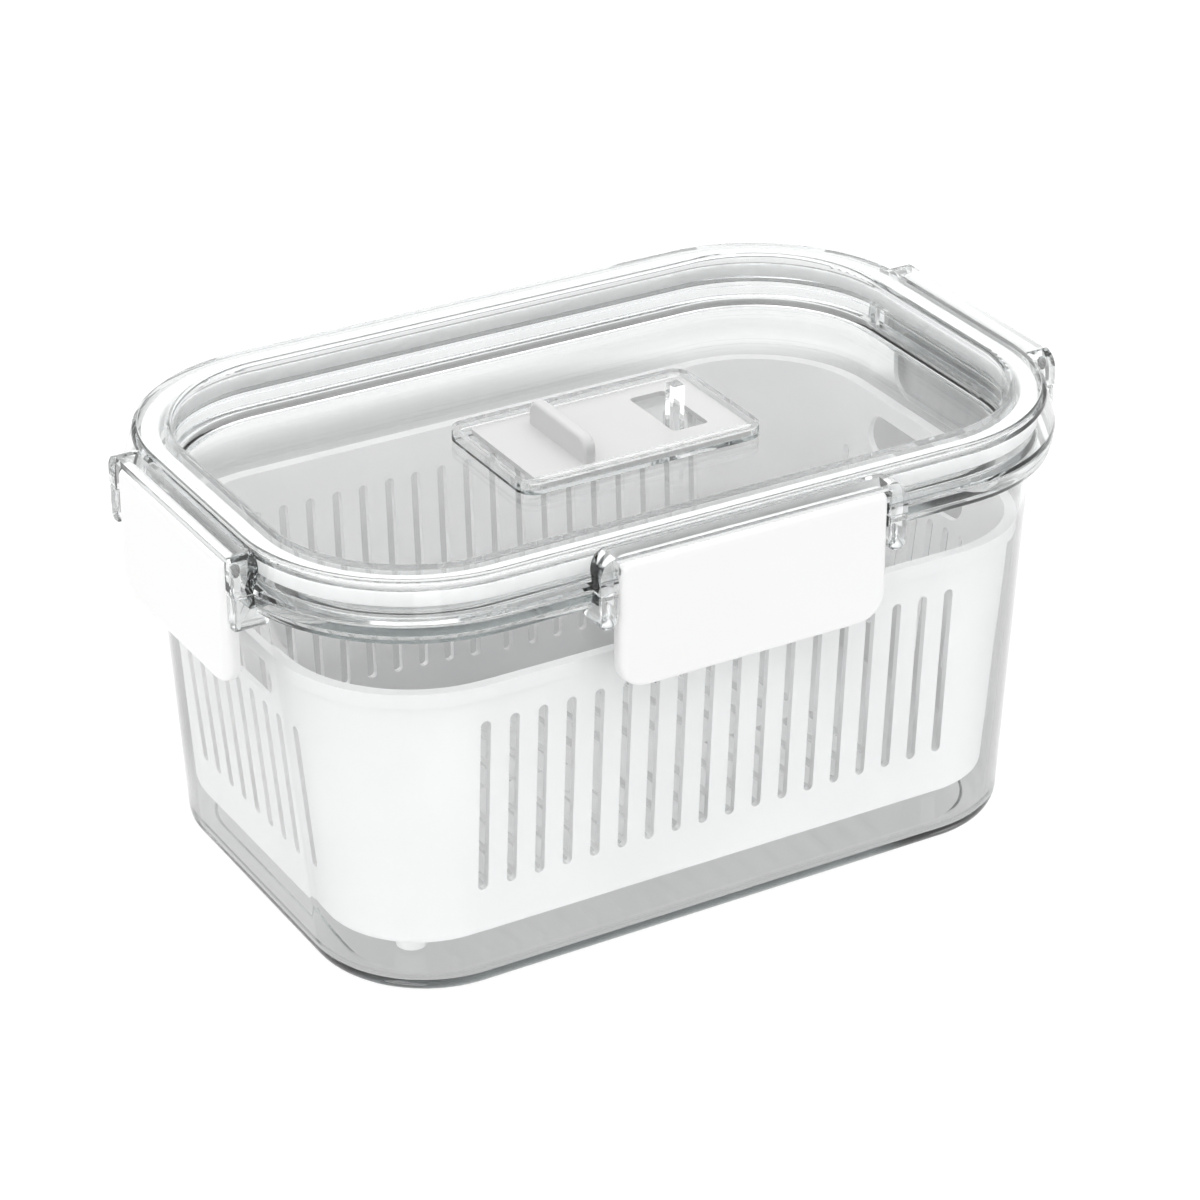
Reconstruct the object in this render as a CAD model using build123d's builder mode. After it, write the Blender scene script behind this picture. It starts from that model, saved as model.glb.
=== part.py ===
from build123d import *
from math import atan2, degrees
import os

# Airtight food keeper: clear tub, white drain basket, clear lid with gasket, vent slider and three latches.
# Millimetres, +Z up, origin in the middle of the tub's underside, +X along the long side.

# Rim land of the lid, seen from above: the rounded rectangle that every rim outline follows
lid_length = 200.0
lid_width = 127.2
lid_corner = 40.8

# Tub
flange_top = 97.6
flange_height = 4.6
flange_reach = 3.1
bead_height = 2.2
bead_step = 0.5
lip_height = 3.4
tub_wall = 2.2
tub_floor = 2.6
base_round = 4.5
end_inset = 3.0
side_inset = 2.1
corner_inset = 4.8
end_draft = 7.5
side_draft = 2.75
corner_draft = 8.0

# Lid
lid_seat_gap = 0.4
rim_height = 9.0
recess_depth = 13.0
recess_draft = 0.8
recess_round = 2.0
lid_wall = 1.9
land_width = 8.0
land_inner_round = 1.4
land_outer_round = 0.5
shoulder_drop = 1.0
shoulder_width = 0.9
skirt_flare = 3.3

# Gasket: a channel section that straddles the tub's lip
gasket_overhang = 1.1
gasket_lip_gap = 0.3
gasket_flap = 1.0

# Drain basket
basket_top = 77.3
basket_bottom = 11.0
basket_wall = 1.6
basket_floor = 1.8
basket_clearance = 0.5
basket_round = 2.5
basket_end_draft = 6.0
basket_side_draft = 3.6
basket_corner_draft = 8.0
band_height = 3.5
band_reach = 1.2
foot_top_radius = 4.5
foot_tip_radius = 3.5
foot_inset = 17.0

# Drain slots and finger openings of the basket
slot_width = 2.4
slot_low = 23.5
side_slot_high = 67.5
side_slots = 18
side_slot_pitch = 7.1
end_slot_high = 60.5
end_slots = 9
end_slot_pitch = 6.8
floor_slots = 17
floor_slot_pitch = 7.1
floor_slot_length = 34.0
floor_row_pitch = 42.0
finger_width = 38.0
finger_height = 10.0
finger_drop = 0.8

# Latches
long_latch_half = 34.2
short_latch_half = 27.2
latch_reach = 7.05
latch_wall = 1.8
latch_bottom = 72.7
latch_corner = 7.0
latch_edge_round = 2.0
latch_return_gap = 0.4
barrel_radius = 2.25
barrel_roof_gap = 0.35
pin_radius = 1.2
pin_clearance = 0.08
pin_length = 2.6
pin_end_gap = 0.5
hook_catch_gap = 0.35
hook_tip = 1.1
hook_height = 5.5
hook_wall_gap = 2.1
hook_end_margin = 8.0

# Brackets on the lid that carry the latches, and the tub's lugs below them
bracket_end_gap = 0.6
bracket_ear = 4.4
bracket_roof = 1.5
bracket_round = 4.5
bracket_setback = 0.4
lug_height = 8.6
lug_round = 2.0
lug_wall_gap = 0.6

# Vent frame, post and holes in the lid's panel
vent_x = 5.5
vent_y = 4.0
vent_length = 64.0
vent_width = 38.0
vent_wall = 1.8
vent_corner = 4.5
vent_ledge = 1.8
vent_ledge_height = 0.5
vent_lip = 1.2
vent_lip_thickness = 0.9
post_x = 20.1
post_y = -2.7
post_thickness = 3.0
post_depth = 3.4
post_height = 12.5
vent_holes = 3
vent_hole_radius = 1.0
vent_hole_pitch = 7.0

# Vent slider and its seal
slider_thickness = 1.2
slider_corner = 2.0
slider_clearance = 0.3
slide_gap = 0.1
slider_travel = 3.0
rib_x = -6.6
rib_y = 3.0
rib_thickness = 3.2
rib_length = 26.0
rib_height = 6.2
rib_end_round = 3.5
rib_edge_round = 0.9
window_y = 5.0
window_length = 20.4
window_width = 9.6
window_corner = 1.2
seal_width = 4.2
seal_end_gap = 0.5

# Heights and places that follow from the sizes above
flange_bottom = flange_top - flange_height
lip_top = flange_top + lip_height
skirt_bottom = flange_top + lid_seat_gap
lid_top = skirt_bottom + rim_height
shoulder = lid_top - shoulder_drop
channel_top = shoulder - lid_wall
panel_top = lid_top - recess_depth
skirt_angle = degrees(atan2(skirt_flare - shoulder_width, shoulder - skirt_bottom))
recess_angle = degrees(atan2(recess_draft, recess_depth))
barrel_out = latch_reach - barrel_radius
barrel_height = shoulder - bracket_roof - barrel_roof_gap - barrel_radius
return_out = max(skirt_flare, flange_reach) + latch_return_gap
bracket_out = latch_reach - bracket_setback
slider_bottom = panel_top + vent_ledge_height + slide_gap
vent_lip_bottom = slider_bottom + slider_thickness + slide_gap
frame_length = vent_length - 2 * vent_wall
frame_width = vent_width - 2 * vent_wall
slider_length = frame_length - slider_travel - 2 * slider_clearance
slider_width = frame_width - 2 * slider_clearance
slider_x = vent_x + (frame_length - slider_length) / 2 - slider_clearance
window_start = post_x - post_thickness / 2 - slider_clearance
window_x = window_start + window_width / 2
vent_hole_x = window_start - slider_travel / 2


def rim_outline(reach, mode=Mode.ADD):
    """The rim land's outline, moved outwards by reach."""
    return RectangleRounded(lid_length + 2 * reach, lid_width + 2 * reach, lid_corner + reach, mode=mode)


def tub_size(height):
    """Length, width and corner radius of the tub's drafted outside at a height."""
    drop = 1 - height / flange_bottom
    length = lid_length - 2 * end_inset - 2 * end_draft * drop
    width = lid_width - 2 * side_inset - 2 * side_draft * drop
    return length, width, lid_corner - corner_inset - corner_draft * drop


def tub_outline(height, inset=0.0):
    """The tub's outline at a height, moved inwards by inset."""
    length, width, corner = tub_size(height)
    return RectangleRounded(length - 2 * inset, width - 2 * inset, corner - inset)


def basket_size(height):
    """Length, width and corner radius of the basket wall's drafted outside at a height."""
    length, width, corner = tub_size(basket_top)
    inset = tub_wall + basket_clearance + band_reach
    drop = (basket_top - height) / (basket_top - basket_bottom)
    length -= 2 * (inset + basket_end_draft * drop)
    width -= 2 * (inset + basket_side_draft * drop)
    return length, width, corner - inset - basket_corner_draft * drop


def basket_outline(height, reach=0.0):
    """The basket wall's outline at a height, moved outwards by reach."""
    length, width, corner = basket_size(height)
    return RectangleRounded(length + 2 * reach, width + 2 * reach, corner + reach)


# Upright planes: one faces the front and the other the right-hand end, both with Y up
front_plane = Plane(origin=(0, 0, 0), x_dir=(1, 0, 0), z_dir=(0, -1, 0))
end_plane = Plane(origin=(0, 0, 0), x_dir=(0, 1, 0), z_dir=(1, 0, 0))


def on_seat(seat, plane):
    """A plane drawn at the origin, carried to a latch seat."""
    return Plane(seat * plane.location)


# Latch seats: frames on the rim land's outer edge, X along the latch and -Y outwards, with its half length
seats = {
    "front_latch": (Location((0, -lid_width / 2, 0), (0, 0, 0)), long_latch_half),
    "left_latch": (Location((-lid_length / 2, 0, 0), (0, 0, -90)), short_latch_half),
    "right_latch": (Location((lid_length / 2, 0, 0), (0, 0, 90)), short_latch_half),
}

# Tub: drafted shell, rim flange with a stepped bead, sealing lip and a lug at each end of every latch
with BuildPart() as tub_cavity:
    with BuildSketch(Plane.XY.offset(tub_floor)):
        tub_outline(tub_floor, tub_wall)
    with BuildSketch(Plane.XY.offset(flange_bottom)):
        tub_outline(flange_bottom, tub_wall)
    loft(ruled=True)

with BuildPart() as container:
    with BuildSketch(Plane.XY):
        tub_outline(0)
    with BuildSketch(Plane.XY.offset(flange_bottom)):
        tub_outline(flange_bottom)
    loft(ruled=True)
    fillet(container.faces().sort_by(Axis.Z)[0].edges(), base_round)
    with BuildSketch(Plane.XY.offset(flange_bottom)):
        rim_outline(flange_reach - bead_step)
    extrude(amount=flange_height)
    with BuildSketch(Plane.XY.offset(flange_bottom + bead_height)):
        rim_outline(flange_reach)
    extrude(amount=flange_height - bead_height)
    with BuildSketch(Plane.XY.offset(flange_top)):
        rim_outline(-side_inset)
    extrude(amount=lip_height)
    for seat, half in seats.values():
        lug_x = half + bracket_end_gap + bracket_ear / 2
        lug_plane = front_plane.offset(lug_wall_gap - side_inset)
        with BuildSketch(on_seat(seat, lug_plane)) as lug_outline:
            with Locations((0, flange_top - lug_height / 2)):
                with GridLocations(2 * lug_x, 0, 2, 1):
                    Rectangle(bracket_ear, lug_height)
            fillet(lug_outline.vertices().group_by(Axis.Y)[0], lug_round)
        extrude(amount=bracket_out + side_inset - lug_wall_gap)
    add(tub_cavity.part, mode=Mode.SUBTRACT)
    with BuildSketch(Plane.XY.offset(flange_bottom)):
        rim_outline(-side_inset - tub_wall)
    extrude(amount=lip_top - flange_bottom, mode=Mode.SUBTRACT)

# Drain basket: drafted shell with a rim band, slots in the walls and floor, finger openings and feet
floor_top = basket_bottom + basket_floor
with BuildPart() as drain_basket:
    with BuildSketch(Plane.XY.offset(basket_bottom)):
        basket_outline(basket_bottom)
    with BuildSketch(Plane.XY.offset(basket_top)):
        basket_outline(basket_top)
    loft(ruled=True)
    fillet(drain_basket.faces().sort_by(Axis.Z)[0].edges(), basket_round)
    with BuildSketch(Plane.XY.offset(basket_top - band_height)):
        basket_outline(basket_top, band_reach)
    extrude(amount=band_height)
    with BuildSketch(Plane.XY.offset(floor_top)):
        basket_outline(floor_top, -basket_wall)
    with BuildSketch(Plane.XY.offset(basket_top)):
        basket_outline(basket_top, -basket_wall)
    loft(ruled=True, mode=Mode.SUBTRACT)
    with BuildSketch(front_plane):
        with Locations((0, (slot_low + side_slot_high) / 2)):
            with GridLocations(side_slot_pitch, 0, side_slots, 1):
                SlotOverall(side_slot_high - slot_low, slot_width, rotation=90)
    extrude(amount=lid_width, both=True, mode=Mode.SUBTRACT)
    with BuildSketch(end_plane):
        with Locations((0, (slot_low + end_slot_high) / 2)):
            with GridLocations(end_slot_pitch, 0, end_slots, 1):
                SlotOverall(end_slot_high - slot_low, slot_width, rotation=90)
        with Locations((0, basket_top - band_height - finger_drop - finger_height / 2)):
            SlotOverall(finger_width, finger_height)
    extrude(amount=lid_length, both=True, mode=Mode.SUBTRACT)
    with BuildSketch(Plane.XY.offset(basket_bottom)):
        with GridLocations(floor_slot_pitch, floor_row_pitch, floor_slots, 2):
            Rectangle(slot_width, floor_slot_length)
    extrude(amount=basket_floor, mode=Mode.SUBTRACT)
    foot_spread = [size - 2 * foot_inset for size in basket_size(basket_bottom)[:2]]
    with Locations((0, 0, tub_floor)):
        with GridLocations(*foot_spread, 2, 2):
            Cone(
                foot_tip_radius,
                foot_top_radius,
                floor_top - basket_floor / 2 - tub_floor,
                align=(Align.CENTER, Align.CENTER, Align.MIN),
            )

# Lid: skirt, latch brackets and rim land round a deep drafted recess, with the vent frame and post on its panel
with BuildPart() as lid:
    with BuildSketch(Plane.XY.offset(skirt_bottom)):
        rim_outline(skirt_flare)
    extrude(amount=shoulder - skirt_bottom, taper=skirt_angle)
    for seat, half in seats.values():
        window_half = half + bracket_end_gap
        with BuildSketch(on_seat(seat, front_plane)) as bracket_outline:
            with Locations((0, (shoulder + skirt_bottom) / 2)):
                Rectangle(2 * (window_half + bracket_ear), shoulder - skirt_bottom)
            fillet(bracket_outline.vertices().group_by(Axis.Y)[-1], bracket_round)
            with Locations((0, (shoulder - bracket_roof + skirt_bottom) / 2)):
                Rectangle(2 * window_half, shoulder - bracket_roof - skirt_bottom, mode=Mode.SUBTRACT)
        extrude(amount=bracket_out)
        for side in (-1, 1):
            with BuildSketch(on_seat(seat, Plane.YZ.offset(side * (window_half + bracket_ear / 2)))):
                with Locations((-barrel_out, barrel_height)):
                    Circle(pin_radius)
            extrude(amount=-side * (bracket_ear / 2 + bracket_end_gap + pin_length))
    with BuildSketch(Plane.XY.offset(skirt_bottom)):
        rim_outline(skirt_flare - lid_wall)
    extrude(amount=channel_top - skirt_bottom, taper=skirt_angle, mode=Mode.SUBTRACT)
    with BuildSketch(Plane.XY.offset(lid_top)):
        rim_outline(lid_wall - land_width)
    extrude(amount=-recess_depth - lid_wall, taper=recess_angle)
    with BuildSketch(Plane.XY.offset(shoulder)):
        rim_outline(0)
    extrude(amount=shoulder_drop)
    with BuildSketch(Plane.XY.offset(lid_top)):
        rim_outline(-land_width)
    extrude(amount=-recess_depth, taper=recess_angle, mode=Mode.SUBTRACT)
    fillet(lid.faces().sort_by(Axis.Z)[-1].inner_wires()[0].edges(), land_inner_round)
    fillet(lid.faces().sort_by(Axis.Z)[-1].outer_wire().edges(), land_outer_round)
    fillet(lid.edges().filter_by_position(Axis.Z, panel_top, panel_top), recess_round)
    with BuildSketch(Plane.XY.offset(panel_top)):
        with Locations((vent_x, vent_y)):
            RectangleRounded(vent_length, vent_width, vent_corner)
            RectangleRounded(frame_length, frame_width, vent_corner - vent_wall, mode=Mode.SUBTRACT)
    extrude(amount=vent_lip_bottom + vent_lip_thickness - panel_top)
    with BuildSketch(Plane.XY.offset(panel_top)):
        with Locations((vent_x, vent_y)):
            with GridLocations(0, frame_width - vent_ledge, 1, 2):
                Rectangle(frame_length, vent_ledge)
    extrude(amount=vent_ledge_height)
    with BuildSketch(Plane.XY.offset(vent_lip_bottom)):
        with Locations((vent_x, vent_y)):
            with GridLocations(0, frame_width - vent_lip, 1, 2):
                Rectangle(frame_length, vent_lip)
    extrude(amount=vent_lip_thickness)
    with BuildSketch(Plane.XY.offset(panel_top)):
        with Locations((post_x, post_y)):
            Rectangle(post_thickness, post_depth)
    extrude(amount=post_height)
    with Locations((vent_hole_x, window_y, panel_top)):
        with GridLocations(0, vent_hole_pitch, 1, vent_holes):
            Hole(vent_hole_radius, depth=lid_wall)

# Gasket ring under the lid's rim, grooved for the tub's lip
with BuildPart() as lid_gasket:
    with BuildSketch(Plane.XY.offset(lip_top - gasket_flap)):
        rim_outline(gasket_overhang - side_inset)
        rim_outline(-side_inset - tub_wall - gasket_overhang, mode=Mode.SUBTRACT)
    extrude(amount=channel_top - lip_top + gasket_flap)
    with BuildSketch(Plane.XY.offset(lip_top - gasket_flap)):
        rim_outline(gasket_lip_gap - side_inset)
        rim_outline(-side_inset - tub_wall - gasket_lip_gap, mode=Mode.SUBTRACT)
    extrude(amount=gasket_flap, mode=Mode.SUBTRACT)

# Vent slider: plate under the frame's lips, with a thumb rib and a window that runs past the post
with BuildPart() as vent_slider:
    with BuildSketch(Plane.XY.offset(slider_bottom)):
        with Locations((slider_x, vent_y)):
            RectangleRounded(slider_length, slider_width, slider_corner)
        with Locations((window_x, window_y)):
            RectangleRounded(window_width, window_length, window_corner, mode=Mode.SUBTRACT)
    extrude(amount=slider_thickness)
    with BuildSketch(Plane.YZ.offset(rib_x - rib_thickness / 2)) as rib_outline:
        with Locations((rib_y, slider_bottom + slider_thickness)):
            Rectangle(rib_length, rib_height, align=(Align.CENTER, Align.MIN))
        fillet(rib_outline.vertices().group_by(Axis.Y)[-1], rib_end_round)
    extrude(amount=rib_thickness)
    rib_top = vent_slider.edges().group_by(Axis.Z)[-1]
    fillet(rib_top, rib_edge_round)

# Vent seal: silicone pad on the slider's underside, beside the window, over the vent holes
with BuildPart() as vent_seal:
    with BuildSketch(Plane.XY.offset(panel_top + slide_gap)):
        with Locations((window_start, window_y)):
            Rectangle(seal_width, window_length - 2 * seal_end_gap, align=(Align.MAX, Align.CENTER))
    extrude(amount=slider_bottom - panel_top - slide_gap)

os.makedirs("parts", exist_ok=True)
pieces = {
    "container": container.part,
    "drain_basket": drain_basket.part,
    "lid": lid.part,
    "lid_gasket": lid_gasket.part,
    "vent_slider": vent_slider.part,
    "vent_seal": vent_seal.part,
}

# Latches: a hollow plate that hangs from a barrel, with a bore at each end and a hook under the tub's flange
plate_depth = latch_reach - return_out
hook_top = flange_bottom - hook_catch_gap
hook_tip_out = hook_wall_gap - side_inset
root_out = latch_reach - latch_wall / 2
tip_low = (-hook_tip_out, hook_top - hook_tip)
root_low = (-root_out, hook_top - hook_height)
for name, (seat, half) in seats.items():
    outwards = Axis((0, 0, 0), on_seat(seat, front_plane).z_dir)
    barrel_plane = on_seat(seat, front_plane.offset(barrel_out))
    barrel_axis = Axis(barrel_plane.from_local_coords((0, barrel_height, 0)), barrel_plane.x_dir)
    with BuildPart() as latch:
        with BuildSketch(on_seat(seat, front_plane.offset(return_out))) as plate:
            with Locations((0, latch_bottom)):
                Rectangle(2 * half, barrel_height - latch_bottom, align=(Align.CENTER, Align.MIN))
            fillet(plate.vertices().group_by(Axis.Y)[0], latch_corner)
        extrude(amount=plate_depth)
        fillet(latch.faces().sort_by(outwards)[-1].edges().sort_by(Axis.Z)[:-1], latch_edge_round)
        with BuildSketch(barrel_plane) as barrel:
            with Locations((0, barrel_height)):
                Rectangle(2 * half, barrel_radius, align=(Align.CENTER, Align.MIN))
            fillet(barrel.vertices().group_by(Axis.Y)[-1], latch_edge_round)
        revolve(axis=barrel_axis)
        with BuildSketch(on_seat(seat, front_plane.offset(return_out))) as hollow:
            with Locations((0, latch_bottom + latch_wall)):
                Rectangle(
                    2 * (half - latch_wall),
                    barrel_height - barrel_radius - latch_bottom - latch_wall,
                    align=(Align.CENTER, Align.MIN),
                )
            fillet(hollow.vertices().group_by(Axis.Y)[0], latch_corner - latch_wall)
        extrude(amount=plate_depth - latch_wall, mode=Mode.SUBTRACT)
        with BuildSketch(on_seat(seat, Plane.YZ.offset(hook_end_margin - half))):
            with BuildLine():
                Polyline(tip_low, (-hook_tip_out, hook_top), (-root_out, hook_top), root_low)
                TangentArc(tip_low, root_low, tangent=(-1, 0))
            make_face()
        extrude(amount=2 * (half - hook_end_margin))
        for side in (-1, 1):
            with BuildSketch(on_seat(seat, Plane.YZ.offset(side * half))):
                with Locations((-barrel_out, barrel_height)):
                    Circle(pin_radius + pin_clearance)
            extrude(amount=-side * (pin_length + pin_end_gap), mode=Mode.SUBTRACT)
    pieces[name] = latch.part

for name, piece in pieces.items():
    piece.label = name
    export_step(piece, f"parts/{name}.step")
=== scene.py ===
from math import cos, radians, sin, tan

import bmesh
import bpy
from mathutils import Matrix, Vector


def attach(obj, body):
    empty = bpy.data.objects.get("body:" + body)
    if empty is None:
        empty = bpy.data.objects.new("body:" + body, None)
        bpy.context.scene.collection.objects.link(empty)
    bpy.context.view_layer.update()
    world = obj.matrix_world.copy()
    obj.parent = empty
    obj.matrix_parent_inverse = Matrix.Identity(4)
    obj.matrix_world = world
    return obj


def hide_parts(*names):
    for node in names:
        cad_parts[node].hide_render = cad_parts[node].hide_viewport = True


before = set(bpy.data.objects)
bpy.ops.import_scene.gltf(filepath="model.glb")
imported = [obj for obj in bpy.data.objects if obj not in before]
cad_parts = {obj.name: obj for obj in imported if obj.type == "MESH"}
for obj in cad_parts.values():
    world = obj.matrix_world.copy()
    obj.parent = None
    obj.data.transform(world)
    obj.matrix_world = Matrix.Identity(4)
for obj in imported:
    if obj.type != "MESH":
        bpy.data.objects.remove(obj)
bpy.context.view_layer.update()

# Lengths are in metres and angles in degrees, in the frame's own axes: X right, -Y to the front, Z up.

# Camera, solved from the outlines in the photograph; lens and sensor in millimetres
CAMERA_AT = Vector((-0.4174, -0.7159, 0.4952))
CAMERA_TARGET = Vector((0.0, 0.0, 0.05386))
CAMERA_LENS = 120.09
CAMERA_SENSOR = 36.0
CAMERA_SHIFT = (0.00525, 0.00121)
CAMERA_NEAR = 0.01

# Studio dome, from straight down (0) over the horizon (0.5) to straight up (1): the soft light that
# falls on matt surfaces, and the greyer room with its softboxes that gloss and clear plastic show
FILL_SKY = ((0.0, 0.65), (0.5, 0.65), (0.6, 0.7), (0.8, 1.1), (1.0, 1.6))
SHOWN_SKY = ((0.0, 0.55), (0.5, 0.55), (0.56, 0.7), (0.68, 1.0), (1.0, 1.1))
# Feathered boxes of light: azimuth, elevation, half width, half height, feather, added strength.
# KEY falls on the matt surfaces from the left front, and the others are what gloss shows.
KEY = (-55, 30, 30, 26, 0.5, 0.15)
SOFTBOXES = (
    (-70, 45, 22, 24, 0.2, 0.7),
    (60, 40, 16, 26, 0.2, 0.6),
    (180, 62, 26, 10, 0.2, 0.5),
    (-20, 12, 6, 9, 0.06, 0.8),
)

# Two sheets of floor just under the part: half their side, and their heights
FLOOR_REACH = 40.0
FLOOR_HEIGHT, SHADE_HEIGHT = -0.0001, -0.0002
# The upper one: its own glow, and how much of the light on it comes back, with a faint mottle
FLOOR_GLOW = 0.8
FLOOR_WHITE = 0.3
FLOOR_MOTTLE, FLOOR_MOTTLE_SCALE = 1.03, 3.0
# The lower one, which the clear plastic shows, with painted shade near the part: brightness near and
# far, the distances from a rectangle of this half length and half width between which it changes, how
# much of it is left under the painted shade behind the part, and the two stretches of Y where that
# sets in and ends
SHADE_DARK, SHADE_LIGHT = 0.5, 1.05
SHADE_START, SHADE_STOP = 0.178, 0.2
SHADE_HALF = (("X", 0.085), ("Y", 0.05))
PAINTED_REAR_SHARE = 0.68
PAINTED_REAR_FALL, PAINTED_REAR_RISE = (0.055, 0.08), (0.15, 0.2)
# How strongly that floor lights the matt pieces inside the clear ones
UNDERLIGHT = 0.95
# Makes up for what the clear walls keep back of the light that falls through them on matt pieces
THROUGH_CLEAR = 2.1
# Light path depths are whole numbers, so this tells none from one or more
ANY_DEPTH = 0.5

# Refraction of the plastics and of silicone
PLASTIC_IOR, SILICONE_IOR = 1.49, 1.41
# Noises: scale, detail, roughness, stretch. Bumps: strength, depth.
CLEAR_WAVES = (9.0, 2.0)
CLEAR_SCUFFS = (260.0, 3.0, 0.6, (1.0, 0.25, 0.25))
CLEAR_HAZE = (30.0, 5.0)
CLEAR_TINT = ((0.975, 0.98, 0.98, 1), (0.995, 1.0, 1.0, 1))
CLEAR_ROUGHNESS = (0.0, 0.02)
CLEAR_BODY, CLEAR_DENSITY = (0.78, 0.8, 0.8, 1.0), 40.0
WAVE_DEPTH = 0.0006
SCUFF_BUMP = (0.01, 0.00003)
WHITE_FLOW = (14.0, 3.0)
WHITE_HANDLED = (55.0, 5.0, 0.6)
GRAIN_DETAIL = (2.0, 0.4)
FLOW_BUMP = (0.05, 0.0004)
GRAIN_STRENGTH = 0.25
SILICONE_CLOUD = (40.0, 4.0)
SILICONE_SKIN = (900.0, 2.0)
SILICONE_TINT = ((0.86, 0.865, 0.865, 1), (0.88, 0.885, 0.885, 1))
SILICONE_ROUGHNESS = (0.26, 0.38)
SKIN_BUMP = (0.2, 0.00005)
# Light that wanders under the skin: weight, radius for each colour, scale
WHITE_DEPTH = (0.15, (1.0, 0.95, 0.9), 0.0015)
SILICONE_DEPTH = (0.3, (1.0, 1.0, 1.0), 0.002)
# Painted shade low in the basket: heights between which it fades, and how far from the walls' own
# direction (as a product with the place) a face may look and still count as looking inwards
PAINTED_SHADE_LOW, PAINTED_SHADE_HIGH = 0.03, 0.045
INWARDS = 0.005

# Rim land of the lid, which every rim outline follows, and the tub's outline under the flange with
# its draft down to the base: length, width, corner radius
RIM = (0.2, 0.1272, 0.0408)
TUB_TOP = (0.194, 0.123, 0.036)
TUB_DRAFT = (0.015, 0.0055, 0.008)
FLANGE_BOTTOM, FLANGE_TOP, LIP_TOP = 0.093, 0.0976, 0.101
# The sides with a latch: turn from the front, distance to the rim land's edge, half the latch's width
SEATS = (
    (0.0, RIM[1] / 2, 0.0342),
    (-90.0, RIM[0] / 2, 0.0272),
    (90.0, RIM[0] / 2, 0.0272),
)
# A lug beside each end of a latch
LUG_GAP, LUG_HALF = 0.0006, 0.0022
LUG_ROUND, LUG_FLAT, LUG_ROUND_STEPS = 0.002, 0.0002, 6
LUG_ROUND_HEIGHT = 0.091
LUG_START, LUG_LENGTH = 0.0015, 0.00815
LUG_EDGE, LUG_EDGE_STEPS = 0.0005, 3

CORNER_STEPS = 22  # faces round each corner of an outline
BEND_WEIGHT = 0.7071  # of a bend's middle point: half of the square root of two makes it circular
SHARP_ANGLE = 32.0  # edges sharper than this stay sharp


def new_material(name):
    material = bpy.data.materials.new(name)
    material.use_nodes = True
    material.node_tree.nodes.clear()
    return material


def node(tree, kind, **values):
    """A new node with each value set on the socket of that name, or else on the node itself."""
    made = tree.nodes.new(kind)
    for key, value in values.items():
        if key in made.inputs.keys():
            made.inputs[key].default_value = value
        else:
            setattr(made, key, value)
    return made


def output(tree, surface, kind="ShaderNodeOutputMaterial"):
    made = node(tree, kind)
    tree.links.new(surface, made.inputs["Surface"])
    return made


def noise(tree, coordinates, scale, detail=4.0, roughness=0.5, stretch=(1, 1, 1)):
    """Noise on object coordinates, stretched where a surface is scuffed one way."""
    mapping = node(tree, "ShaderNodeMapping")
    mapping.inputs["Scale"].default_value = stretch
    tree.links.new(coordinates.outputs["Object"], mapping.inputs["Vector"])
    made = node(tree, "ShaderNodeTexNoise", Scale=scale, Detail=detail, Roughness=roughness)
    tree.links.new(mapping.outputs["Vector"], made.inputs["Vector"])
    return made.outputs["Fac"]


def ramp(tree, source, stops):
    """Colours over a value: (value, colour) for each stop."""
    made = node(tree, "ShaderNodeValToRGB")
    elements = made.color_ramp.elements
    for index, (at, colour) in enumerate(stops):
        element = elements[index] if index < len(elements) else elements.new(at)
        element.position = at
        element.color = colour
    tree.links.new(source, made.inputs["Fac"])
    return made.outputs["Color"]


def mottle(tree, source, low, high, start=0.35, stop=0.65):
    """A colour from low to high over the middle of a noise's range."""
    return ramp(tree, source, ((start, low), (stop, high)))


def span(tree, source, low, high, start=0.35, stop=0.65, kind="LINEAR"):
    """A value from low to high while the source goes from start to stop."""
    made = node(tree, "ShaderNodeMapRange", interpolation_type=kind)
    sockets = ("From Min", "From Max", "To Min", "To Max")
    for socket, value in zip(sockets, (start, stop, low, high)):
        made.inputs[socket].default_value = value
    tree.links.new(source, made.inputs["Value"])
    return made.outputs["Result"]


def calc(tree, operation, first, second=None):
    made = node(tree, "ShaderNodeMath", operation=operation)
    for socket, value in zip(made.inputs, (first, second)):
        if value is None:
            continue
        if isinstance(value, (int, float)):
            socket.default_value = value
        else:
            tree.links.new(value, socket)
    return made.outputs["Value"]


def vector_calc(tree, operation, first, second):
    """A vector node over a vector and either a second one or a constant."""
    made = node(tree, "ShaderNodeVectorMath", operation=operation)
    tree.links.new(first, made.inputs[0])
    if isinstance(second, bpy.types.NodeSocket):
        tree.links.new(second, made.inputs[1])
    else:
        made.inputs[1].default_value = second
    return made.outputs["Value" if operation == "DOT_PRODUCT" else "Vector"]


def axes(tree, vector):
    """The node that splits a vector into X, Y and Z."""
    made = node(tree, "ShaderNodeSeparateXYZ")
    tree.links.new(vector, made.inputs["Vector"])
    return made.outputs


def bump(tree, layers):
    """A chain of bump nodes: (height, strength, depth in metres) for each layer, broad ones first."""
    normal = None
    for height, strength, distance in layers:
        made = node(tree, "ShaderNodeBump", Strength=strength, Distance=distance)
        tree.links.new(height, made.inputs["Height"])
        if normal is not None:
            tree.links.new(normal, made.inputs["Normal"])
        normal = made.outputs["Normal"]
    return normal


def grey(value):
    return (value, value, value, 1.0)


def principled(tree, ior, colour, roughness, normal):
    shader = node(tree, "ShaderNodeBsdfPrincipled", IOR=ior)
    for socket, source in (("Base Color", colour), ("Roughness", roughness), ("Normal", normal)):
        tree.links.new(source, shader.inputs[socket])
    return shader


def under_skin(shader, weight, radius, scale):
    shader.inputs["Subsurface Weight"].default_value = weight
    shader.inputs["Subsurface Radius"].default_value = radius
    shader.inputs["Subsurface Scale"].default_value = scale


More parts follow.
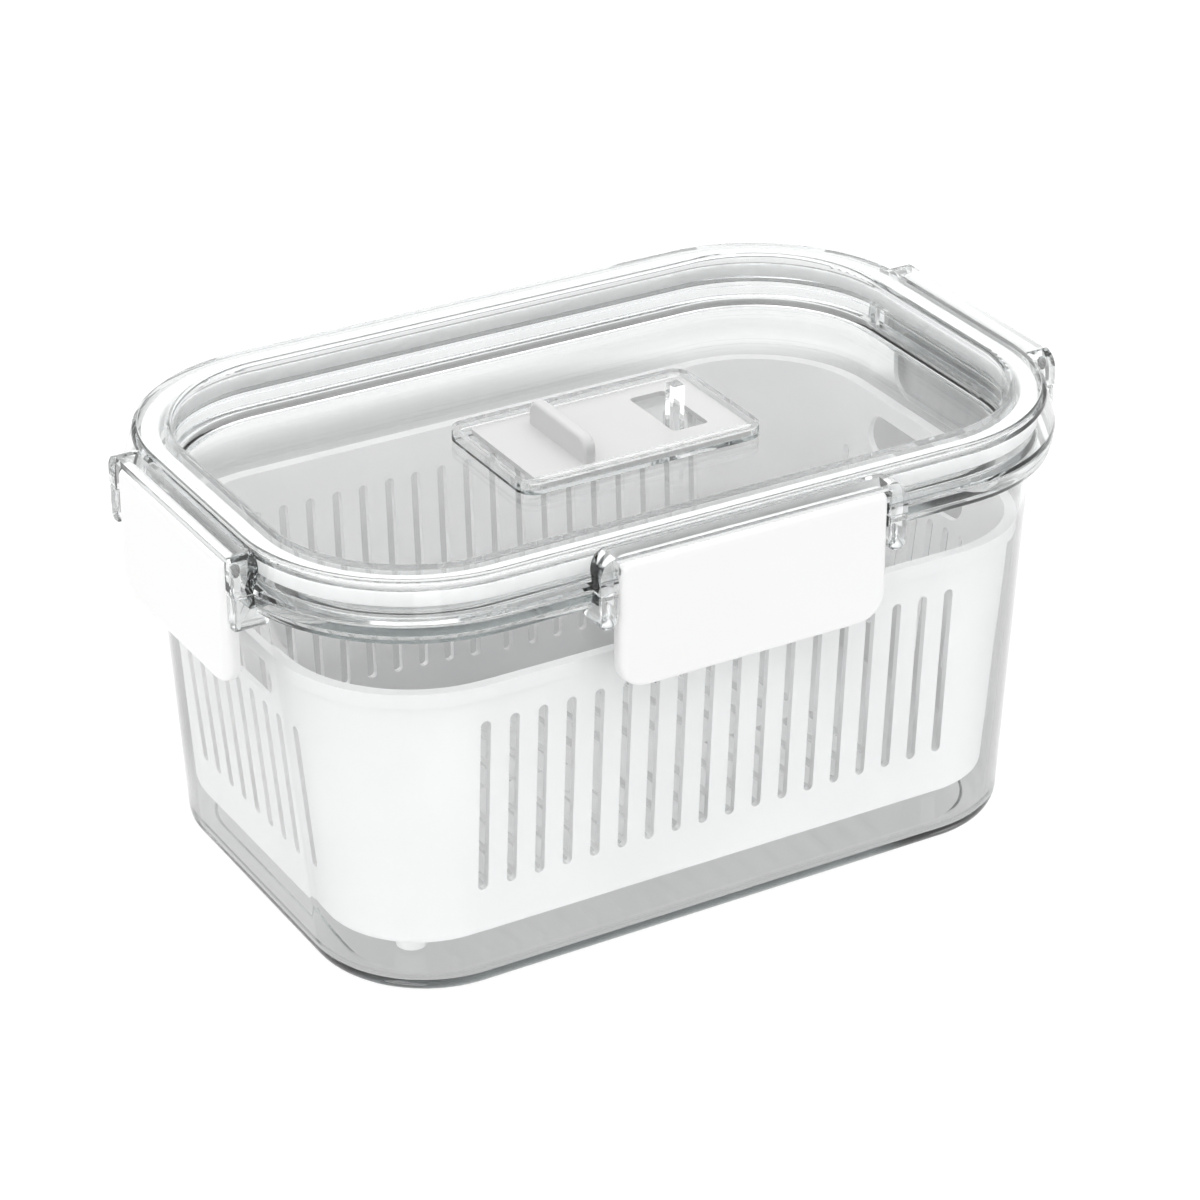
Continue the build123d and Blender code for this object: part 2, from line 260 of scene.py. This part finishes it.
def clear_plastic(name, wave):
    """Polished clear moulded plastic: broad moulding waves, hairline scuffs and hazier patches."""
    material = new_material(name)
    tree = material.node_tree
    coordinates = node(tree, "ShaderNodeTexCoord")
    waves = noise(tree, coordinates, *CLEAR_WAVES)
    scuffs = noise(tree, coordinates, *CLEAR_SCUFFS)
    haze = noise(tree, coordinates, *CLEAR_HAZE)
    shader = principled(
        tree,
        PLASTIC_IOR,
        mottle(tree, haze, *CLEAR_TINT),
        span(tree, scuffs, *CLEAR_ROUGHNESS),
        bump(tree, [(waves, wave, WAVE_DEPTH), (scuffs, *SCUFF_BUMP)]),
    )
    shader.inputs["Transmission Weight"].default_value = 1.0
    body = node(tree, "ShaderNodeVolumeAbsorption", Color=CLEAR_BODY, Density=CLEAR_DENSITY)
    out = output(tree, shader.outputs["BSDF"])
    tree.links.new(body.outputs["Volume"], out.inputs["Volume"])
    return material


def painted_hollow_shade(tree, coordinates, depth):
    """Painted shade: one on the outside and high up, less by depth on the faces that look inwards low
    down.
    """
    place = coordinates.outputs["Object"]
    level_place = vector_calc(tree, "MULTIPLY", place, (1, 1, 0))
    facing = vector_calc(tree, "DOT_PRODUCT", level_place, coordinates.outputs["Normal"])
    inwards = calc(tree, "LESS_THAN", facing, INWARDS)
    low = span(tree, axes(tree, place)["Z"], depth, 0.0, PAINTED_SHADE_LOW, PAINTED_SHADE_HIGH)
    return calc(tree, "SUBTRACT", 1.0, calc(tree, "MULTIPLY", inwards, low))


def white_plastic(name, white, roughness, grain, grain_depth, painted_shade_depth=0.0):
    """Opaque white moulded plastic: fine spark-eroded grain, faint flow shading, handled patches.

    white and roughness are the lowest and highest value; the last is the depth of the painted shade
    low inside.
    """
    material = new_material(name)
    tree = material.node_tree
    coordinates = node(tree, "ShaderNodeTexCoord")
    flow = noise(tree, coordinates, *WHITE_FLOW)
    handled = noise(tree, coordinates, *WHITE_HANDLED)
    fine = noise(tree, coordinates, grain, *GRAIN_DETAIL)
    colour = mottle(tree, flow, *(grey(value) for value in white))
    # Painted shade: darker on the faces that look inwards low in the basket
    if painted_shade_depth:
        shaded = node(tree, "ShaderNodeVectorMath", operation="SCALE")
        tree.links.new(colour, shaded.inputs[0])
        tree.links.new(painted_hollow_shade(tree, coordinates, painted_shade_depth), shaded.inputs["Scale"])
        colour = shaded.outputs["Vector"]
    shader = principled(
        tree,
        PLASTIC_IOR,
        colour,
        span(tree, handled, *roughness),
        bump(tree, [(flow, *FLOW_BUMP), (fine, GRAIN_STRENGTH, grain_depth)]),
    )
    under_skin(shader, *WHITE_DEPTH)
    output(tree, shader.outputs["BSDF"])
    return material


def silicone(name):
    """Milky silicone with a cloudy, slightly dull skin."""
    material = new_material(name)
    tree = material.node_tree
    coordinates = node(tree, "ShaderNodeTexCoord")
    cloud = noise(tree, coordinates, *SILICONE_CLOUD)
    skin = noise(tree, coordinates, *SILICONE_SKIN)
    shader = principled(
        tree,
        SILICONE_IOR,
        mottle(tree, cloud, *SILICONE_TINT),
        span(tree, cloud, *SILICONE_ROUGHNESS),
        bump(tree, [(skin, *SKIN_BUMP)]),
    )
    under_skin(shader, *SILICONE_DEPTH)
    output(tree, shader.outputs["BSDF"])
    return material


def dress(name, material):
    """Gives a CAD mesh its material."""
    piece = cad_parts[name]
    piece.data.materials.clear()
    piece.data.materials.append(material)


clear_tub = clear_plastic("clear_tub", 0.02)
clear_lid = clear_plastic("clear_lid", 0.015)
# The basket's last value is the depth of its painted shade low on the inner faces
basket_white = white_plastic("basket_white", (0.92, 0.935), (0.36, 0.42), 1400.0, 0.00004, 0.22)
latch_white = white_plastic("latch_white", (0.84, 0.85), (0.28, 0.3), 1800.0, 0.00002)
slider_white = white_plastic("slider_white", (0.66, 0.69), (0.4, 0.55), 1200.0, 0.00005)
soft_seal = silicone("soft_seal")

dress("lid", clear_lid)
dress("drain_basket", basket_white)
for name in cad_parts:
    if name.endswith("_latch"):
        dress(name, latch_white)
dress("vent_slider", slider_white)
dress("vent_seal", soft_seal)


def rim(reach, z):
    """Length, width, corner radius and height of the rim land's outline, moved outwards by reach."""
    return RIM[0] + 2 * reach, RIM[1] + 2 * reach, RIM[2] + reach, z


def tub(inset, z):
    """The same of the tub's drafted wall at a height, moved inwards by inset."""
    drop = 1 - z / FLANGE_BOTTOM
    length, width, corner = (size - draft * drop for size, draft in zip(TUB_TOP, TUB_DRAFT))
    return length - 2 * inset, width - 2 * inset, corner - inset, z


# Sections from the underside outwards, up, over the top and down inside: outline, size of the bend
# there, and its steps
TUB_SECTION = (
    (tub(0.0083, 0.0008), 0, 0),
    (tub(0.0076, 0.0), 0.0003, 2),
    (tub(0.0, 0.0), 0.0045, 9),
    (tub(0.0, FLANGE_BOTTOM), 0.0007, 4),
    (rim(0.0026, FLANGE_BOTTOM), 0.0005, 4),
    (rim(0.0026, 0.0952), 0.0002, 2),
    (rim(0.0031, 0.0952), 0.0002, 2),
    (rim(0.0031, FLANGE_TOP), 0.0005, 4),
    (rim(-0.0021, FLANGE_TOP), 0.0005, 4),
    (rim(-0.0021, LIP_TOP), 0.0004, 4),
    (rim(-0.0043, LIP_TOP), 0.0004, 4),
    (rim(-0.0043, FLANGE_BOTTOM), 0, 0),
    (tub(0.0022, FLANGE_BOTTOM), 0, 0),
    (tub(0.0022, 0.0026), 0.0035, 9),
    (tub(0.0075, 0.0026), 0, 0),
)
SEAL_SECTION = (
    (rim(-0.0011, 0.1001), 0.0002, 2),
    (rim(-0.0011, 0.1035), 0.0004, 3),
    (rim(-0.0016, 0.1039), 0.0003, 3),
    (rim(-0.0024, 0.1039), 0.0003, 3),
    (rim(-0.0028, 0.1035), 0.0002, 2),
    (rim(-0.0036, 0.1035), 0.0002, 2),
    (rim(-0.0040, 0.1039), 0.0003, 3),
    (rim(-0.0048, 0.1039), 0.0003, 3),
    (rim(-0.0053, 0.1035), 0.0004, 3),
    (rim(-0.0053, 0.1001), 0.0002, 2),
    (rim(-0.0047, 0.1001), 0.0002, 2),
    (rim(-0.0047, 0.1012), 0.0002, 2),
    (rim(-0.0017, 0.1012), 0.0002, 2),
    (rim(-0.0017, 0.1001), 0.0002, 2),
)


def soften(section, closed):
    """The section's outlines, with those that bend turned into a run of outlines round the bend."""
    points = [Vector(outline) for outline, _, _ in section]
    made = []
    for index, (_, radius, steps) in enumerate(section):
        here = points[index]
        if radius == 0 or (not closed and index in (0, len(section) - 1)):
            made.append(here)
            continue
        ends = []
        for other in (points[index - 1], points[(index + 1) % len(points)]):
            way = other - here
            across = Vector((way[0] / 2, way[3])).length
            ends.append(here + way * (radius / across))
        for step in range(steps + 1):
            t = step / steps
            weights = ((1 - t) ** 2, 2 * t * (1 - t) * BEND_WEIGHT, t ** 2)
            total = ends[0] * weights[0] + here * weights[1] + ends[1] * weights[2]
            made.append(total / sum(weights))
    return made


def loop(outline):
    """The points of one rounded rectangle, the same number whatever its size."""
    length, width, corner, z = outline
    points = []
    for quarter, (sx, sy) in enumerate(((1, 1), (-1, 1), (-1, -1), (1, -1))):
        middle_x, middle_y = sx * (length / 2 - corner), sy * (width / 2 - corner)
        for step in range(CORNER_STEPS + 1):
            angle = radians(90 * (quarter + step / CORNER_STEPS))
            points.append((middle_x + corner * cos(angle), middle_y + corner * sin(angle), z))
    return points


def add_object(name, data):
    made = bpy.data.objects.new(name, data)
    bpy.context.collection.objects.link(made)
    return made


def shell_object(name, shell):
    """An object with the shell's faces, all turned outwards."""
    bmesh.ops.recalc_face_normals(shell, faces=shell.faces)
    mesh = bpy.data.meshes.new(name)
    shell.to_mesh(mesh)
    shell.free()
    return add_object(name, mesh)


def sweep(name, section, closed):
    """A skin over a section's outlines, its ends joined to each other or closed by flat faces."""
    shell = bmesh.new()
    rows = [[shell.verts.new(point) for point in loop(row)] for row in soften(section, closed)]
    pairs = list(zip(rows, rows[1:])) + ([(rows[-1], rows[0])] if closed else [])
    for low, high in pairs:
        for index in range(len(low)):
            after = (index + 1) % len(low)
            shell.faces.new((low[index], low[after], high[after], high[index]))
    if not closed:
        shell.faces.new(rows[0])
        shell.faces.new(rows[-1])
    return shell_object(name, shell)


def smooth(made):
    for face in made.data.polygons:
        face.use_smooth = True
    made.data.set_sharp_from_angle(angle=radians(SHARP_ANGLE))


def lug_outline(middle):
    """A lug seen from outside, as (sideways, height): square at the top, rounded at the bottom."""
    outline = []
    for side, first in ((1, 0.0), (-1, 90.0)):
        for step in range(LUG_ROUND_STEPS + 1):
            angle = radians(first + step * (90.0 / LUG_ROUND_STEPS))
            sideways = middle + side * LUG_FLAT + LUG_ROUND * cos(angle)
            outline.append((sideways, LUG_ROUND_HEIGHT - LUG_ROUND * sin(angle)))
    return outline + [(middle - LUG_HALF, FLANGE_TOP), (middle + LUG_HALF, FLANGE_TOP)]


def lugs():
    """The tub's lugs: a rounded tongue under each ear of the latch brackets."""
    shell = bmesh.new()
    for turn, edge, half in SEATS:
        for side in (-1, 1):
            outline = lug_outline(side * (half + LUG_GAP + LUG_HALF))
            near = [shell.verts.new((x, -edge + LUG_START, z)) for x, z in outline]
            face = shell.faces.new(near)
            moved = bmesh.ops.extrude_face_region(shell, geom=[face])["geom"]
            far = [v for v in moved if isinstance(v, bmesh.types.BMVert)]
            bmesh.ops.translate(shell, verts=far, vec=(0, -LUG_LENGTH, 0))
            turned = Matrix.Rotation(radians(turn), 3, "Z")
            bmesh.ops.rotate(shell, verts=near + far, cent=(0, 0, 0), matrix=turned)
    made = shell_object("lugs", shell)
    edges = made.modifiers.new("edges", "BEVEL")
    edges.width = LUG_EDGE
    edges.segments = LUG_EDGE_STEPS
    edges.limit_method = "ANGLE"
    return made


def make_tub():
    """The clear tub with its foot ring, rounded floor corner, stepped flange bead, lip and lugs."""
    made = sweep("tub_body", TUB_SECTION, closed=False)
    ears = lugs()
    union = made.modifiers.new("union", "BOOLEAN")
    union.operation = "UNION"
    union.solver = "EXACT"
    union.object = ears
    joined = made.evaluated_get(bpy.context.evaluated_depsgraph_get())
    mesh = bpy.data.meshes.new_from_object(joined)
    made.modifiers.clear()
    made.data = mesh
    bpy.data.objects.remove(ears)
    smooth(made)
    return made


def make_gasket():
    """The silicone ring: two beads on its back, a groove over the tub's lip, and air all round it."""
    made = sweep("seal_ring", SEAL_SECTION, closed=True)
    smooth(made)
    return made


def set_piece(made, body, material, stands_for):
    made.data.materials.clear()
    made.data.materials.append(material)
    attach(made, body)
    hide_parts(stands_for)


set_piece(make_tub(), "container", clear_tub, "container")
set_piece(make_gasket(), "lid", soft_seal, "lid_gasket")


def floor_material(name):
    """Matt white sweep that glows a little, as a lit light table does."""
    material = new_material(name)
    tree = material.node_tree
    coordinates = node(tree, "ShaderNodeTexCoord")
    shader = node(tree, "ShaderNodeBsdfPrincipled", Roughness=0.7)
    patches = noise(tree, coordinates, FLOOR_MOTTLE_SCALE)
    colour = mottle(tree, patches, grey(FLOOR_WHITE), grey(FLOOR_WHITE * FLOOR_MOTTLE))
    tree.links.new(colour, shader.inputs["Base Color"])
    shader.inputs["Emission Color"].default_value = (1, 1, 1, 1)
    shader.inputs["Emission Strength"].default_value = FLOOR_GLOW
    output(tree, shader.outputs["BSDF"])
    return material


def on_matt(tree, paths, falling, shown):
    """One light where it falls on matt surfaces, another where gloss and clear plastic show it."""
    matt = calc(tree, "GREATER_THAN", paths.outputs["Diffuse Depth"], ANY_DEPTH)
    lit = calc(tree, "MULTIPLY", matt, falling)
    return calc(
        tree, "ADD", lit, calc(tree, "MULTIPLY", calc(tree, "SUBTRACT", 1.0, matt), shown)
    )


def painted_shade_material(name):
    """The same sweep as the clear plastic shows it, with painted shade: dark near the part, darker
    behind it, bright further out.
    """
    material = new_material(name)
    tree = material.node_tree
    coordinates = node(tree, "ShaderNodeTexCoord")
    place = axes(tree, coordinates.outputs["Object"])
    sides = []
    for axis, half in SHADE_HALF:
        beyond = calc(tree, "SUBTRACT", calc(tree, "ABSOLUTE", place[axis]), half)
        past = calc(tree, "MAXIMUM", beyond, 0.0)
        sides.append(calc(tree, "MULTIPLY", past, past))
    away = calc(tree, "SQRT", calc(tree, "ADD", *sides))
    # Painted shade: darker near the part, and darker still in a band of Y behind it
    level = span(tree, away, SHADE_DARK, SHADE_LIGHT, SHADE_START, SHADE_STOP, "SMOOTHSTEP")
    fall = span(tree, place["Y"], 1.0, PAINTED_REAR_SHARE, *PAINTED_REAR_FALL)
    rise = span(tree, place["Y"], 0.0, 1.0 - PAINTED_REAR_SHARE, *PAINTED_REAR_RISE)
    shown = calc(tree, "MULTIPLY", level, calc(tree, "ADD", fall, rise))
    paths = node(tree, "ShaderNodeLightPath")
    shader = node(tree, "ShaderNodeEmission")
    strength = on_matt(tree, paths, UNDERLIGHT * THROUGH_CLEAR, shown)
    tree.links.new(strength, shader.inputs["Strength"])
    output(tree, shader.outputs["Emission"])
    return material


def sheet(name, height, material):
    reach = FLOOR_REACH
    mesh = bpy.data.meshes.new(name)
    corners = [(-reach, -reach, 0), (reach, -reach, 0), (reach, reach, 0), (-reach, reach, 0)]
    mesh.from_pydata(corners, [], [(0, 1, 2, 3)])
    made = add_object(name, mesh)
    made.location.z = height
    mesh.materials.append(material)
    return made


floor = sheet("floor", FLOOR_HEIGHT, floor_material("pale_floor"))
floor.visible_transmission = False
# A sheet of painted shade under the part, which only the clear plastic shows; matt pieces inside get
# its even glow as light
shade = sheet("painted_floor_shade", SHADE_HEIGHT, painted_shade_material("painted_floor_shade"))
shade.visible_camera = False
shade.visible_diffuse = False
shade.visible_glossy = False
shade.visible_shadow = False


def sky(tree, height, stops):
    return ramp(tree, height, [(at, grey(value)) for at, value in stops])


def softbox(tree, direction, azimuth, elevation, half_width, half_height, feather, strength):
    """A feathered rectangle of light painted on the studio dome, with azimuth 0 at the front."""
    a, e = radians(azimuth), radians(elevation)
    towards = Vector((sin(a) * cos(e), -cos(a) * cos(e), sin(e)))
    side = Vector((cos(a), sin(a), 0.0))
    rise = side.cross(towards)
    ahead = vector_calc(tree, "DOT_PRODUCT", direction, towards)
    product = calc(tree, "GREATER_THAN", ahead, 0.0)
    for axis, half in ((side, half_width), (rise, half_height)):
        along = vector_calc(tree, "DOT_PRODUCT", direction, axis)
        ratio = calc(tree, "DIVIDE", along, calc(tree, "MAXIMUM", ahead, 0.001))
        edge = tan(radians(half))
        offset = calc(tree, "ABSOLUTE", ratio)
        inside = span(tree, offset, 0.0, 1.0, edge + feather, edge, "SMOOTHSTEP")
        product = calc(tree, "MULTIPLY", product, inside)
    return calc(tree, "MULTIPLY", product, strength)


def make_world():
    """The studio dome, seen one way by gloss and clear plastic and another by matt surfaces."""
    world = bpy.data.worlds.new("studio")
    world.use_nodes = True
    tree = world.node_tree
    tree.nodes.clear()
    direction = node(tree, "ShaderNodeTexCoord").outputs["Generated"]
    height = calc(tree, "MULTIPLY", calc(tree, "ADD", axes(tree, direction)["Z"], 1.0), 0.5)
    shown = sky(tree, height, SHOWN_SKY)
    for box in SOFTBOXES:
        shown = calc(tree, "ADD", shown, softbox(tree, direction, *box))
    paths = node(tree, "ShaderNodeLightPath")
    through = calc(tree, "GREATER_THAN", paths.outputs["Transmission Depth"], ANY_DEPTH)
    gain = calc(tree, "ADD", calc(tree, "MULTIPLY", through, THROUGH_CLEAR - 1.0), 1.0)
    falling = calc(tree, "ADD", sky(tree, height, FILL_SKY), softbox(tree, direction, *KEY))
    light = on_matt(tree, paths, calc(tree, "MULTIPLY", gain, falling), shown)
    back = node(tree, "ShaderNodeBackground", Strength=1.0)
    tree.links.new(light, back.inputs["Color"])
    output(tree, back.outputs["Background"], "ShaderNodeOutputWorld")
    # One light for each kind of surface can't be drawn from a single map of the dome
    world.cycles.sampling_method = "NONE"
    return world


def make_camera():
    data = bpy.data.cameras.new("camera")
    data.sensor_width = CAMERA_SENSOR
    data.lens = CAMERA_LENS
    data.shift_x, data.shift_y = CAMERA_SHIFT
    data.clip_start = CAMERA_NEAR
    camera = add_object("camera", data)
    camera.location = CAMERA_AT
    camera.rotation_euler = (CAMERA_TARGET - CAMERA_AT).to_track_quat("-Z", "Y").to_euler()
    return camera


scene = bpy.context.scene
scene.world = make_world()
scene.camera = make_camera()
scene.view_settings.view_transform = "Standard"

# Light bounces many times inside the clear rims before it comes out again
scene.cycles.max_bounces = 32
scene.cycles.glossy_bounces = 24
scene.cycles.transmission_bounces = 32
scene.cycles.diffuse_bounces = 2
